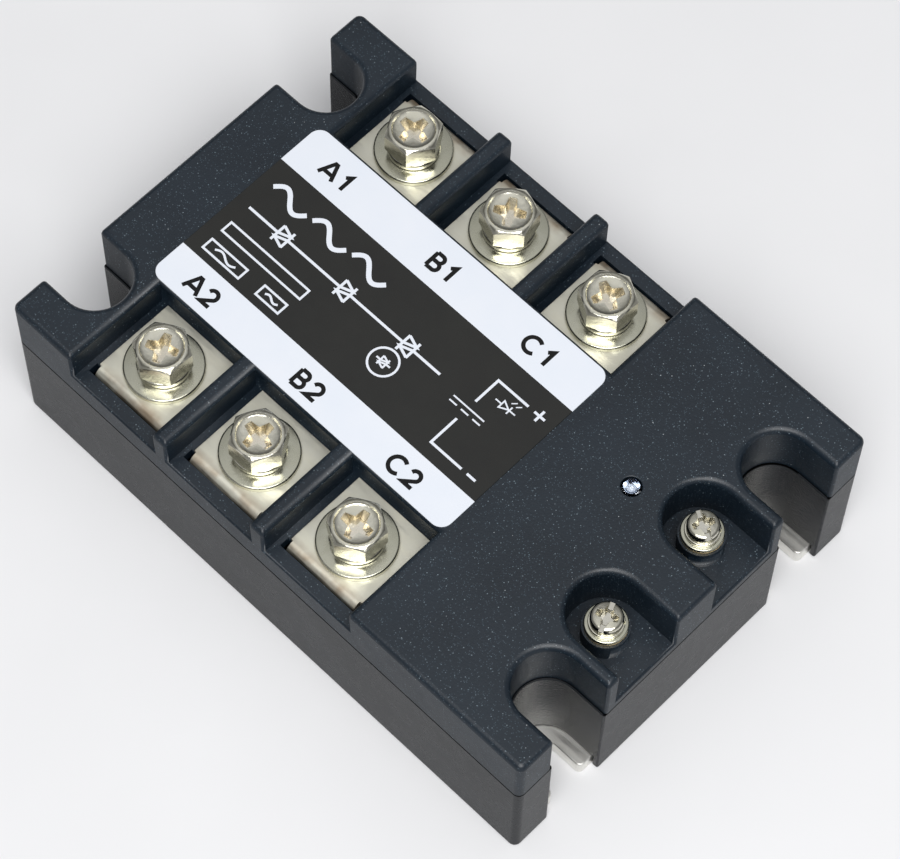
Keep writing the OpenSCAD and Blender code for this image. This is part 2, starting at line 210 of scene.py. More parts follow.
def cover_plastic():
    """The cover's dark blue plastic with painted glints. Each speck layer: spacing, radius, share and two
    colours.
    """
    glint_specks = [
        (0.26, 0.36, 0.36, ((0.036, 0.058, 0.078), (0.075, 0.108, 0.135))),
        (0.42, 0.24, 0.20, ((0.11, 0.160, 0.195), (0.24, 0.300, 0.340))),
        (1.1, 0.085, 0.30, ((0.34, 0.40, 0.45), (0.66, 0.70, 0.72))),
    ]
    base, lighter = (0.0050, 0.0100, 0.0165), (0.0082, 0.0150, 0.0235)
    upright_gloss, level_gloss = 0.12, 0.5
    p = speckled_plastic("cover_plastic", base, lighter, 0.40, 0.024, glint_specks)
    facing = p.add("ShaderNodeSeparateXYZ")
    p.put(facing.inputs[0], p.add("ShaderNodeNewGeometry").outputs["Normal"])
    gloss = p.remap(facing.outputs[2], 0.1, 0.9, upright_gloss, level_gloss)
    p.put(p.shader.inputs["Specular IOR Level"], gloss)
    return p.mat


def housing_plastic(name, rough, grain, gloss, painted_groove_shade=False):
    """The housing's matt plastic; the last flag paints shade onto the rounding along the parting line,
    darkening it and taking its gloss away.
    """
    # painted glints: sparse pale dots in the colour
    glint_specks = [(0.9, 0.12, 0.08, ((0.05, 0.055, 0.055), (0.12, 0.13, 0.12)))]
    base, lighter = (0.0168, 0.0182, 0.0202), (0.0225, 0.0242, 0.0270)
    p = speckled_plastic(name, base, lighter, rough, grain, glint_specks, gloss)
    if painted_groove_shade:
        # painted shade in the parting groove: near black colour and no gloss on the lower part of the
        # rounding
        groove_z = PARTING_Z - HOUSING_ROUND
        groove_shade = p.remap(p.axis(2), groove_z - 0.12, groove_z - 0.01)
        plain = p.shader.inputs["Base Color"].links[0].from_socket
        p.colour(p.mix(groove_shade, plain, (0.0015, 0.0015, 0.0015)))
        p.put(p.shader.inputs["Specular IOR Level"], p.remap(groove_shade, 0, 1, gloss, 0))
    return p.mat


def nickel(name, base, warm, rough, scratch=(1, 1, 1), grain=0.002, dent=0.0):
    """Plated steel: uneven roughness, faint rub marks and a patchy warm tint."""
    p = Paint(name, rough, metallic=1.0)
    patches = p.remap(p.noise(3.2, 3), 0.35, 0.7, 0, 0.35)
    p.colour(p.mix(patches, base, warm))
    smear = p.noise(1.1, 4, scratch)
    p.rough(p.remap(smear, 0.3, 0.7, rough * 0.75, rough * 1.3))
    marks = p.bump(p.noise(0.5, 3, scratch), grain, 1.0)
    fine = p.bump(p.noise(0.09, 1), grain * 0.5, 0.5, marks)
    p.bump(p.noise(1.5, 2), dent, 1.0, fine)
    return p


def strip_nickel():
    """Satin plated strip, discoloured brown along the outer bend."""
    p = nickel("terminal_nickel", (0.77, 0.755, 0.655), (0.71, 0.68, 0.55), 0.50, (6, 1, 1), 0.003)
    near = p.remap(p.math("ABSOLUTE", p.axis(1)), STRIP_EDGE_Y - 2.6, STRIP_EDGE_Y - 0.9)
    patch = p.math("MULTIPLY", near, p.remap(p.noise(4.5, 3), 0.35, 0.62), clamp=True)
    plain = p.shader.inputs["Base Color"].links[0].from_socket
    p.colour(p.mix(p.math("MULTIPLY", patch, 0.75), plain, (0.36, 0.25, 0.15)))
    return p.mat


def film(name, base, second, rough, gloss=0.5):
    """Printed polyester film with a slight unevenness in its gloss."""
    p = Paint(name, rough, ior=1.5)
    p.shader.inputs["Specular IOR Level"].default_value = gloss
    p.colour(p.mix(p.remap(p.noise(9, 3), 0.3, 0.7), base, second))
    p.rough(p.remap(p.noise(1.4, 3), 0.3, 0.7, rough * 0.85, rough * 1.15))
    p.bump(p.noise(2.2, 2), 0.004, 0.5)
    return p.mat


def resin_like(name, base, second, rough, size=2.0):
    """General moulded, cast or lacquered finish for the pieces inside."""
    p = Paint(name, rough)
    p.colour(p.mix(p.remap(p.noise(size, 4), 0.3, 0.7), base, second))
    p.rough(p.remap(p.noise(size / 3, 3), 0.3, 0.7, rough * 0.8, min(1, rough * 1.2)))
    p.bump(p.noise(size / 8, 2), 0.01)
    return p.mat


def laminate():
    """Green solder mask over faintly raised tracks."""
    p = Paint("board_laminate", 0.3)
    bricks = p.add("ShaderNodeTexBrick")
    p.put(bricks.inputs["Vector"], p.stretched(1))
    bricks.inputs["Scale"].default_value = 0.35
    bricks.inputs["Mortar Size"].default_value = 0.06
    tracks = bricks.outputs["Fac"]
    p.colour(p.mix(tracks, (0.012, 0.13, 0.055), (0.03, 0.22, 0.09)))
    p.bump(tracks, 0.035)
    return p.mat


def clear_epoxy():
    """Slightly blue clear resin with faint ripples."""
    p = Paint("lamp_clear", 0.06, ior=1.52)
    p.shader.inputs["Transmission Weight"].default_value = 1.0
    p.colour(p.mix(p.noise(0.9, 2), (0.86, 0.92, 1.0), (0.93, 0.96, 1.0)))
    p.bump(p.noise(0.5, 2), 0.01)
    return p.mat


def lamp_cup_metal():
    """Plated cup of the lamp, with painted shade along its far wall."""
    p = nickel("lamp_reflector", (0.86, 0.92, 1.0), (0.60, 0.68, 0.84), 0.25, grain=0.03)
    away_x, away_y = 0.68, 0.73
    far = p.math("SUBTRACT", p.math("MULTIPLY", p.axis(1), away_y), p.math("MULTIPLY", p.axis(0), away_x))
    at_post = away_y * LAMP_PLACE.y - away_x * LAMP_PLACE.x
    # painted shade: the cup's colour goes near black on its side away from the camera
    painted_shade = p.remap(p.math("ADD", far, p.noise(0.5, 2)), at_post + 0.8, at_post + 1.1)
    unshaded_plating = p.shader.inputs["Base Color"].links[0].from_socket
    p.colour(p.mix(painted_shade, unshaded_plating, (0.02, 0.025, 0.04)))
    return p.mat


def make_materials():
    """Every paint, by the name that the pieces ask for."""
    metals = {
        "plate_nickel": ((0.82, 0.81, 0.77), (0.76, 0.74, 0.68), 0.38, (8, 1, 1), 0.003),
        "copper": ((0.83, 0.43, 0.26), (0.62, 0.28, 0.16), 0.3),
        "silicon": ((0.35, 0.36, 0.40), (0.25, 0.26, 0.30), 0.2),
        "pin_gold": ((0.93, 0.72, 0.36), (0.80, 0.58, 0.25), 0.22),
        "tinned_wire": ((0.74, 0.74, 0.72), (0.64, 0.64, 0.62), 0.35),
        "nickel_steel": ((0.66, 0.64, 0.55), (0.54, 0.52, 0.39), 0.17, (1, 1, 1), 0.012, 0.05),
        "washer_nickel": ((0.51, 0.505, 0.415), (0.45, 0.44, 0.32), 0.24, (1, 1, 1), 0.005),
        "recess_nickel": ((0.80, 0.755, 0.65), (0.70, 0.63, 0.48), 0.26, (1, 1, 1), 0.004),
        "slot_nickel": ((0.66, 0.64, 0.57), (0.50, 0.48, 0.40), 0.22, (1, 1, 1), 0.008),
        "terminal_brass": ((0.82, 0.66, 0.36), (0.68, 0.50, 0.24), 0.28),
    }
    resins = {
        "seal_resin": ((0.05, 0.03, 0.02), (0.08, 0.05, 0.035), 0.25, 6),
        "white_ceramic": ((0.82, 0.82, 0.79), (0.88, 0.88, 0.86), 0.5, 1),
        "component_black": ((0.018, 0.018, 0.018), (0.03, 0.03, 0.03), 0.5),
        "resistor_body": ((0.55, 0.42, 0.25), (0.62, 0.50, 0.32), 0.35),
        "capacitor_case": ((0.42, 0.05, 0.03), (0.50, 0.08, 0.05), 0.35),
    }
    films = {
        "label_film": ((0.75, 0.79, 0.86), (0.78, 0.81, 0.87), 0.34),
        "label_ink": ((0.010, 0.010, 0.009), (0.014, 0.014, 0.012), 0.28, 0.42),
        "letter_ink": ((0.006, 0.006, 0.006), (0.009, 0.009, 0.009), 0.5, 0.2),
    }
    paints = {name: nickel(name, *values).mat for name, values in metals.items()}
    paints.update({name: resin_like(name, *values) for name, values in resins.items()})
    paints.update({name: film(name, *values) for name, values in films.items()})
    paints["case_plastic"] = cover_plastic()
    paints["housing_plastic"] = housing_plastic("housing_plastic", 0.28, 0.022, 0.05, painted_groove_shade=True)
    paints["eroded_plastic"] = housing_plastic("eroded_plastic", 0.20, 0.05, 0.06)
    paints["board_laminate"] = laminate()
    paints["lamp_clear"] = clear_epoxy()
    paints["lamp_reflector"] = lamp_cup_metal()
    paints["terminal_nickel"] = strip_nickel()
    return paints


PAINT = make_materials()


# ---------------------------------------------------------------- mesh helpers


def piece(name, bm, paints, node=None, body=None, smooth_angle=32):
    """Turns a bmesh in millimetres into a piece that rides on its body and stands for its CAD node."""
    bm.transform(Matrix.Scale(MM, 4))
    mesh = bpy.data.meshes.new(name)
    bm.to_mesh(mesh)
    bm.free()
    obj = bpy.data.objects.new(name, mesh)
    bpy.context.scene.collection.objects.link(obj)
    for paint in paints:
        mesh.materials.append(PAINT[paint])
    mesh.shade_smooth()
    mesh.set_sharp_from_angle(angle=math.radians(smooth_angle))
    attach(obj, body or BODY_OF[node])
    if node:
        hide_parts(node)
    return obj


def cad_copy(node):
    """The CAD node's mesh in millimetres, welded, with its flat faces made whole again."""
    bm = bmesh.new()
    bm.from_mesh(NODES[node].data)
    bm.transform(Matrix.Scale(1 / MM, 4))
    bmesh.ops.remove_doubles(bm, verts=bm.verts, dist=0.0005)
    bmesh.ops.dissolve_limit(bm, angle_limit=math.radians(0.4), verts=bm.verts, edges=bm.edges)
    return bm


def edge_turn(edge):
    """Angle between an edge's two faces in degrees, negative in a hollow corner."""
    if len(edge.link_faces) != 2:
        return 0.0
    return math.degrees(edge.calc_face_angle_signed(0.0))


def is_open_above(tree, edge):
    """True if nothing covers the edge, seen from just off its surface."""
    normal = sum((face.normal for face in edge.link_faces), Vector())
    start = (edge.verts[0].co + edge.verts[1].co) / 2 + normal.normalized() * 0.05
    return tree.ray_cast(start, Vector((0, 0, 1)))[0] is None


def round_edges(bm, radius_of):
    """Weights each sharp edge by the radius that radius_of(edge, angle) gives; covered ones stay sharp."""
    layer = bm.edges.layers.float.new("bevel_weight_edge")
    tree = BVHTree.FromBMesh(bm)
    widest = 0.0
    for edge in bm.edges:
        angle = edge_turn(edge)
        rounded = abs(angle) > 40 and is_open_above(tree, edge)
        edge[layer] = radius_of(edge, angle) if rounded else 0.0
        widest = max(widest, edge[layer])
    for edge in bm.edges:
        edge[layer] /= widest
    return widest


def add_rounding(obj, radius, steps=3, by_angle=None, clamp=True):
    bevel = obj.modifiers.new("rounding", "BEVEL")
    bevel.width = radius * MM
    bevel.segments = steps
    bevel.limit_method = "WEIGHT" if by_angle is None else "ANGLE"
    if by_angle is not None:
        bevel.angle_limit = math.radians(by_angle)
    bevel.use_clamp_overlap = clamp
    bevel.miter_outer = "MITER_ARC"
    even = obj.modifiers.new("even_shading", "WEIGHTED_NORMAL")
    even.keep_sharp = True
    even.weight = 80


def ring_points(count, radius, z, phase=0.0):
    """count points on a circle; radius may be a function of the angle, and z a function of both."""
    points = []
    for i in range(count):
        a = phase + TURN * i / count
        r = radius(a) if callable(radius) else radius
        points.append(Vector((r * math.cos(a), r * math.sin(a), z(a, r) if callable(z) else z)))
    return points


def skin(bm, rings, cap_start=True, cap_end=True):
    """Joins rings of points into one surface."""
    rows = [[bm.verts.new(p) for p in ring] for ring in rings]
    count = len(rows[0])
    for low, high in zip(rows, rows[1:]):
        for i in range(count):
            j = (i + 1) % count
            bm.faces.new((low[i], low[j], high[j], high[i]))
    if cap_start:
        bm.faces.new(rows[0][::-1])
    if cap_end:
        bm.faces.new(rows[-1])


def arc(centre, radius, start, end, steps):
    """Points (across, up) on an arc, angles in degrees."""
    span_angle = (end - start) / steps
    angles = [math.radians(start + span_angle * i) for i in range(steps + 1)]
    return [(centre[0] + radius * math.cos(a), centre[1] + radius * math.sin(a)) for a in angles]


# ---------------------------------------------------------------- case


def case_radius(edge, angle):
    """Rounding of each kind of edge on the cover, as a moulding tool leaves it."""
    mid = (edge.verts[0].co + edge.verts[1].co) / 2
    upright = abs(edge.verts[0].co.z - edge.verts[1].co.z) > 0.5
    at_outside = abs(mid.x) > CASE_HIGH.x - 0.1 or abs(mid.y) > CASE_HIGH.y - 0.1
    if angle < 0 or mid.z < PARTING_Z + 0.1:
        return 0.0
    if (mid.xy - LAMP_PLACE).length < 3:
        return LAMP_HOLE_ROUND
    if mid.z > CASE_HIGH.z - 0.1:
        return TOP_ROUND
    if upright and mid.z > PARTING_Z + 2:
        return UPRIGHT_ROUND
    return SILL_ROUND if at_outside else 0.0


def split_at_lamp(bm):
    """Divides the top face through the lamp's hole, so that each half has one plain outline."""
    whole = list(bm.verts) + list(bm.edges) + list(bm.faces)
    bmesh.ops.bisect_plane(bm, geom=whole, plane_co=(LAMP_PLACE.x, 0, 0), plane_no=(1, 0, 0))
    bridges = []
    for edge in bm.edges:
        on_top = all(v.co.z > CASE_HIGH.z - 0.01 for v in edge.verts)
        on_cut = all(abs(v.co.x - LAMP_PLACE.x) < 0.01 for v in edge.verts)
        if on_top and not on_cut and len(edge.link_faces) == 2 and abs(edge_turn(edge)) < 1:
            bridges.append(edge)
    bmesh.ops.dissolve_edges(bm, edges=bridges, use_verts=False)


def top_cover():
    """The upper half of the case, its edges rounded."""
    bm = cad_copy("top_cover")
    split_at_lamp(bm)
    widest = round_edges(bm, case_radius)
    obj = piece("cover_moulding", bm, ["case_plastic"], "top_cover")
    add_rounding(obj, widest, 4, clamp=False)


def housing_radius(edge, angle):
    """One small rounding all over, so that the parting line shows as a fine groove."""
    return HOUSING_ROUND if angle > 0 else 0.0


def in_notch(face):
    """True for the walls of the four mounting notches, which keep the tool's eroded texture."""
    mid = face.calc_center_median()
    inside = abs(mid.x) < CASE_HIGH.x - 0.1 and abs(mid.y) < CASE_HIGH.y - 0.1
    beside = abs(mid.x) > NOTCH_X and abs(abs(mid.y) - NOTCH_Y) < NOTCH_R + 0.2
    return inside and beside and abs(face.normal.z) < 0.1


def lower_housing():
    """The lower half of the case, with its own paint on the notch walls."""
    bm = cad_copy("lower_housing")
    widest = round_edges(bm, housing_radius)
    for face in bm.faces:
        face.material_index = int(in_notch(face))
    obj = piece("housing_moulding", bm, ["housing_plastic", "eroded_plastic"], "lower_housing")
    add_rounding(obj, widest, 3, clamp=False)


def softened(node, radius):
    """A CAD piece with its sharp edges slightly broken."""
    obj = piece(node + "_part", cad_copy(node), [SUBPARTS[node]], node)
    add_rounding(obj, radius, 2, by_angle=30)


# ---------------------------------------------------------------- screws and washers


def thread_rings(radius, pitch, z_top, z_end, phase):
    """Rings of a right-hand thread from z_end up to z_top, with a run-out at both ends."""
    depth = 0.61 * pitch
    rows_per_turn = 6
    rings = []
    rows = int((z_top - z_end) / pitch * rows_per_turn)
    for k in range(rows + 1):
        z = z_top - (z_top - z_end) * k / rows
        fade = min(1.0, (z_top - z) / pitch, (z - z_end + 0.25 * pitch) / pitch)

        def wave(a, z=z, fade=fade):
            turn = (z / pitch - a / TURN) % 1.0
            crest = 1 - abs(2 * turn - 1)
            return radius - depth * (1 - min(1.0, max(0.0, crest * 1.25 - 0.12))) * fade

        rings.append(ring_points(SIDES, wave, z, phase))
    return rings[::-1]


def cross_cutter(reach, width, depth, top, turn):
    """A cross with a wide middle and tapered sides, as a cross-recess punch leaves it."""
    bm = bmesh.new()

    def outline(r, w, z):
        corners = [(w * 1.55, w * 1.55), (r, w), (r, -w)]
        points = []
        for quarter in range(4):
            turned = Matrix.Rotation(math.radians(turn) - quarter * TURN / 4, 3, "Z")
            points += [turned @ Vector((x, y, z)) for x, y in corners]
        return points

    rings = [
        outline(reach, width / 2, top + 0.5),
        outline(reach, width / 2, top),
        outline(reach * 0.55, width * 0.30, top - depth),
    ]
    skin(bm, rings[::-1])
    bmesh.ops.recalc_face_normals(bm, faces=bm.faces)
    return bm


def box_cutter(length, width, low, high, turn):
    """A bar across the middle, turned about the vertical."""
    bm = bmesh.new()
    bmesh.ops.create_cube(bm, size=1.0)
    size = Matrix.Diagonal((length, width, high - low, 1))
    lift = Matrix.Translation((0, 0, (low + high) / 2))
    bm.transform(Matrix.Rotation(math.radians(turn), 4, "Z") @ lift @ size)
    return bm


def carve(obj, cutters, paint):
    """Cuts each cutter out of obj and gives the cut faces their own paint."""
    obj.data.materials.append(PAINT[paint])
    for bm in cutters:
        mesh = bpy.data.meshes.new("cutter")
        bm.transform(Matrix.Scale(MM, 4))
        bm.to_mesh(mesh)
        bm.free()
        mesh.materials.append(PAINT[paint])
        tool = bpy.data.objects.new("cutter", mesh)
        bpy.context.scene.collection.objects.link(tool)
        tool.matrix_world = obj.matrix_world.copy()
        cut = obj.modifiers.new("cut", "BOOLEAN")
        cut.object = tool
        cut.solver = "EXACT"
        cut.material_mode = "TRANSFER"
        bpy.context.view_layer.update()
        done = bpy.data.meshes.new_from_object(obj.evaluated_get(bpy.context.evaluated_depsgraph_get()))
        obj.modifiers.remove(cut)
        obj.data = done
        bpy.data.objects.remove(tool)
    obj.data.shade_smooth()
    obj.data.set_sharp_from_angle(angle=math.radians(30))


def at(bm, centre):
    """Moves bm to centre and hands it back."""
    bm.transform(Matrix.Translation(centre))
    return bm


def power_screw(node, hex_turn, cross_turn):
    """An M5 screw: hexagon chamfered on both faces, dished top, cross recess, right-hand thread."""
    low, high = span(node)
    centre = Vector(((low.x + high.x) / 2, (low.y + high.y) / 2, 0))
    under = span(node.replace("screw", "spring_washer"))[1].z
    top = high.z
    phase = math.radians(hex_turn)
    flat_r = 4.0
    foot_r = flat_r - 0.12
    crown_r = flat_r - 0.22
    crown_drop = 0.24
    slope = math.tan(math.radians(30))
    dish_r, dish_depth = 3.3, 0.45
    shank_r, pitch = 2.45, 0.8

    def hexagon(a):
        return flat_r / math.cos((a - phase) % (TURN / 6) - TURN / 12)

    def halfway(a):
        return (hexagon(a) + crown_r) / 2

    rings = [
        ring_points(SIDES, 1.6, low.z, phase),
        *thread_rings(shank_r, pitch, under - 0.8, low.z + 0.3, phase),
        ring_points(SIDES, shank_r, under - 0.5, phase),
        ring_points(SIDES, shank_r + 0.15, under, phase),
        ring_points(SIDES, foot_r, under, phase),
        ring_points(SIDES, hexagon, lambda a, r: under + (r - foot_r) * slope, phase),
        ring_points(SIDES, hexagon, lambda a, r: top - crown_drop - (r - flat_r) * slope, phase),
        ring_points(SIDES, halfway, lambda a, r: top - (r - crown_r) * slope, phase),
        ring_points(SIDES, crown_r, top - 0.02, phase),
        ring_points(SIDES, dish_r + 0.15, top, phase),
        ring_points(SIDES, dish_r - 0.05, top - dish_depth * 0.6, phase),
        ring_points(SIDES, dish_r - 0.55, top - dish_depth, phase),
        ring_points(SIDES, 1.0, top - dish_depth + 0.05, phase),
    ]
    bm = bmesh.new()
    skin(bm, rings)
    obj = piece(node + "_bolt", at(bm, centre), ["nickel_steel"], node, smooth_angle=28)
    cross_reach, cross_width, cross_depth = 2.55, 1.2, 1.9
    cutter = cross_cutter(cross_reach, cross_width, cross_depth, top - dish_depth + 0.04, cross_turn)
    carve(obj, [at(cutter, centre)], "recess_nickel")
    add_rounding(obj, 0.07, 2, by_angle=28)


def control_screw(node, slot_turn):
    """An M3 pan-head screw with a slot and a cross recess."""
    low, high = span(node)
    centre = Vector(((low.x + high.x) / 2, (low.y + high.y) / 2, 0))
    under = span(node.replace("screw", "spring_washer"))[1].z
    top = high.z
    head_r = (high.x - low.x) / 2
    shank_r, pitch = 1.45, 0.5
    round_r = 0.55
    crown = 0.22
    side = arc((head_r - round_r, top - crown - round_r), round_r, 0, 90, 4)
    rings = [
        ring_points(SIDES, 0.9, low.z),
        *thread_rings(shank_r, pitch, under - 0.5, low.z + 0.25, 0),
        ring_points(SIDES, shank_r, under - 0.3),
        ring_points(SIDES, shank_r + 0.1, under),
        ring_points(SIDES, head_r - 0.12, under),
        ring_points(SIDES, head_r, under + 0.12),
        *[ring_points(SIDES, r, z) for r, z in side],
        ring_points(SIDES, head_r * 0.45, top - crown * 0.25),
        ring_points(SIDES, 0.35, top),
    ]
    bm = bmesh.new()
    skin(bm, rings)
    obj = piece(node + "_bolt", at(bm, centre), ["nickel_steel"], node, smooth_angle=28)
    slot_width, slot_depth = 0.8, 0.8
    cross_reach, cross_width, cross_depth = 1.75, 0.9, 1.3
    slot = box_cutter(12, slot_width, top - slot_depth, top + 1, slot_turn)
    cross = cross_cutter(cross_reach, cross_width, cross_depth, top - 0.1, slot_turn)
    carve(obj, [at(slot, centre), at(cross, centre)], "slot_nickel")
    add_rounding(obj, 0.06, 2, by_angle=28)


def washer(node, corner=0.28):
    """A stamped flat washer: rounded upper edge, sharper lower one."""
    low, high = span(node)
    centre = Vector(((low.x + high.x) / 2, (low.y + high.y) / 2, 0))
    outer = (high.x - low.x) / 2
    inner = 2.65 if outer > 5 else 1.6
    small = 0.08
    section = [(inner, low.z + small), (inner + small, low.z)]
    section += [(outer - small, low.z), (outer, low.z + small)]
    section += arc((outer - corner, high.z - corner), corner, 0, 90, 4)
    section += [(inner + 0.15, high.z), (inner, high.z - 0.15)]
    bm = bmesh.new()
    rings = [ring_points(96, r, z) for r, z in section]
    skin(bm, rings + [rings[0]], cap_start=False, cap_end=False)
    bmesh.ops.remove_doubles(bm, verts=bm.verts, dist=0.0005)
    bmesh.ops.recalc_face_normals(bm, faces=bm.faces)
    piece(node + "_ring", at(bm, centre), ["washer_nickel"], node)


def spring_washer(node):
    """A square-section split ring, its two ends slightly offset as they are when it is tightened."""
    low, high = span(node)
    centre = Vector(((low.x + high.x) / 2, (low.y + high.y) / 2, 0))
    outer = (high.x - low.x) / 2
    inner = 2.65 if outer > 3.5 else 1.6
    thick = high.z - low.z
    gap = math.radians(11 if outer > 3.5 else 13)
    soft = 0.16 * thick
    lift = 0.06 * thick
    skew = gap * 0.35
    split_turn = 35
    count = 72
    corners = [
        arc((outer - soft, high.z - soft - lift), soft, 0, 90, 3),
        arc((inner + soft, high.z - soft - lift), soft, 90, 180, 3),
        arc((inner + soft, low.z + soft), soft, 180, 270, 3),
        arc((outer - soft, low.z + soft), soft, 270, 360, 3),
    ]
    section = [p for corner in corners for p in corner]
    rings = []
    for i in range(count + 1):
        share = i / count
        a = math.radians(split_turn) + gap / 2 + (TURN - gap) * share
        ring = []
        for r, z in section:
            height = (z - low.z) / thick
            b = a + skew * (height - 0.5)
            ring.append(Vector((r * math.cos(b), r * math.sin(b), z + lift * share)))
        rings.append(ring)
    bm = bmesh.new()
    skin(bm, rings)
    bmesh.ops.recalc_face_normals(bm, faces=bm.faces)
    piece(node + "_ring", at(bm, centre), ["nickel_steel"], node)


# ---------------------------------------------------------------- lamp


def status_lamp():
    """A clear 3 mm lamp: domed body with a rim, and the cup on its post inside."""
    low, high = span("status_lamp")
    centre = Vector((*middle("status_lamp").xy, 0))
    r = 1.5
    rim_r = (high.x - low.x) / 2
    dome = arc((0, high.z - r), r, 0, 84, 9)
    section = [(rim_r - 0.08, low.z), (rim_r, low.z + 0.08)]
    section += [(rim_r, low.z + 0.92), (rim_r - 0.08, low.z + 1)]
    section += [(r, low.z + 1.05)] + dome
    bm = bmesh.new()
    skin(bm, [ring_points(48, a, z) for a, z in section])
    bmesh.ops.recalc_face_normals(bm, faces=bm.faces)
    piece("lamp_body", at(bm, centre), ["lamp_clear"], "status_lamp")
    cup_top = high.z - 0.85
    cup = [
        (0.3, low.z + 0.25), (0.3, cup_top - 0.9), (1.2, cup_top - 0.1), (1.25, cup_top),
        (1.15, cup_top), (0.5, cup_top - 0.55), (0.3, cup_top - 0.5),
    ]
    bm = bmesh.new()
    skin(bm, [ring_points(32, a, z) for a, z in cup])
    bmesh.ops.recalc_face_normals(bm, faces=bm.faces)
    piece("lamp_cup", at(bm, centre), ["lamp_reflector"], body="case")


# ---------------------------------------------------------------- label


INK_T = 0.02   # how far the print stands up, and how far it reaches into the film
LAYER = 0.02   # crossing lines lie at slightly different heights within this
NAME_SHIFT = {"a": -3.1, "b": -1.0, "c": -1.4}   # the names' offset from their screws, along X
BAND_LOW_Y = LABEL_LOW.y + 6.8
BAND_HIGH_Y = LABEL_HIGH.y - 8.3


def label():
    """White film with a black band; the band is part of the film's own faces."""
    corner = 2.0
    soft = 0.05
    bm = bmesh.new()

    def outline(inset, z):
        points = []
        for cx, cy, start in (
            (LABEL_HIGH.x - corner, LABEL_HIGH.y - corner, 0),
            (LABEL_LOW.x + corner, LABEL_HIGH.y - corner, 90),
            (LABEL_LOW.x + corner, LABEL_LOW.y + corner, 180),
            (LABEL_HIGH.x - corner, LABEL_LOW.y + corner, 270),
        ):
            points += [Vector((x, y, z)) for x, y in arc((cx, cy), corner - inset, start, start + 90, 8)]
        return points

    top = LABEL_HIGH.z
    skin(bm, [outline(0, LABEL_LOW.z), outline(0, top - soft), outline(soft, top)])
    for y in (BAND_LOW_Y, BAND_HIGH_Y):
        whole = list(bm.verts) + list(bm.edges) + list(bm.faces)
        bmesh.ops.bisect_plane(bm, geom=whole, plane_co=(0, y, 0), plane_no=(0, 1, 0))
    for face in bm.faces:
        face.material_index = int(BAND_LOW_Y < face.calc_center_median().y < BAND_HIGH_Y)
    bmesh.ops.recalc_face_normals(bm, faces=bm.faces)
    piece("label_sheet", bm, ["label_film", "label_ink"], "label")


def stroke(bm, points, width, closed=False):
    """A flat printed line of even width along points, with mitred corners."""
    top = LABEL_HIGH.z + INK_T + LAYER * (len(bm.faces) % 97) / 97
    base = LABEL_HIGH.z - INK_T
    points = [Vector((x, y)) for x, y in points]
    count = len(points)
    left, right = [], []
    for i, p in enumerate(points):
        before = points[i - 1] if i or closed else None
        after = points[(i + 1) % count] if i < count - 1 or closed else None
        steps = (p - before if before else None, after - p if after else None)
        along = [step.normalized() for step in steps if step]
        run = sum(along, Vector((0, 0))).normalized()
        across = Vector((-run.y, run.x))
        side = Vector((-along[0].y, along[0].x))
        reach = width / 2 / max(0.35, across.dot(side))
        left.append(p + across * reach)
        right.append(p - across * reach)
    rings = []
    for a, b in zip(left, right):
        rings.append([Vector((*a, base)), Vector((*b, base)), Vector((*b, top)), Vector((*a, top))])
    if closed:
        rings.append(rings[0])
    skin(bm, rings, cap_start=not closed, cap_end=not closed)


def glyph_points(kind, size):
    """Centre lines of the terminal letters and figures, on a cap height of 1 from the base line."""
    table = {
        "A": [[(0, 0), (0.42, 1), (0.56, 1), (0.98, 0)], [(0.2, 0.3), (0.78, 0.3)]],
        "B": [[(0.1, 0), (0.1, 1)],
              [(0.1, 1), (0.48, 1)] + arc((0.48, 0.76), 0.24, 80, -80, 8) + [(0.1, 0.52)],
              [(0.1, 0.52), (0.52, 0.52)] + arc((0.52, 0.26), 0.26, 80, -80, 8) + [(0.1, 0)]],
        "C": [arc((0.5, 0.5), 0.5, 48, 312, 18)],
        "1": [[(0.14, 0.76), (0.42, 1), (0.42, 0)]],
        "2": [arc((0.38, 0.68), 0.31, 165, -35, 12) + [(0.06, 0.02), (0.72, 0.02)]],
    }
    return [[(x * size, y * size) for x, y in line] for line in table[kind]]


def write(bm, text, centre, size, width, gap):
    """Draws a terminal name centred at a place on the label."""
    advance = {"A": 0.98, "B": 0.82, "C": 0.95, "1": 0.5, "2": 0.75}
    inner = size - width
    total = sum(advance[c] * inner for c in text) + gap * (len(text) - 1)
    x = centre[0] - total / 2
    for c in text:
        for line in glyph_points(c, inner):
            stroke(bm, [(x + px, centre[1] - inner / 2 + py) for px, py in line], width)
        x += advance[c] * inner + gap


def wave_line(x, y, length, height, steps):
    """One period of a sine wave."""
    shares = [i / steps for i in range(steps + 1)]
    return [(x + length * t, y + height / 2 * math.sin(TURN * t)) for t in shares]


def triac(bm, x, y, size, width):
    """Two thyristors back to back, as a line symbol."""
    half = size / 2
    stroke(bm, [(x - size * 1.2, y), (x - half, y)], width)
    stroke(bm, [(x + half, y), (x + size * 1.2, y)], width)
    for s in (-1, 1):
        stroke(bm, [(x + s * half, y - size * 0.75), (x + s * half, y + size * 0.75)], width)
        tip = (x + s * half, y + s * size * 0.36)
        back = x - s * half
        stroke(bm, [(back, tip[1] - size * 0.36), tip, (back, tip[1] + size * 0.36)], width)


def dark_print():
    """Terminal names in black on the white bands."""
    bm = bmesh.new()
    size, width, gap = 3.45, 0.66, 0.8
    upper = (LABEL_HIGH.y + BAND_HIGH_Y) / 2 - 0.35
    lower = (LABEL_LOW.y + BAND_LOW_Y) / 2 - 0.3
    for y, figure in ((upper, "1"), (lower, "2")):
        for letter, shift in NAME_SHIFT.items():
            name = letter + figure
            write(bm, name.upper(), (middle("screw_" + name).x + shift, y), size, width, gap)
    bmesh.ops.recalc_face_normals(bm, faces=bm.faces)
    piece("label_terminal_names", bm, ["letter_ink"], body="case")


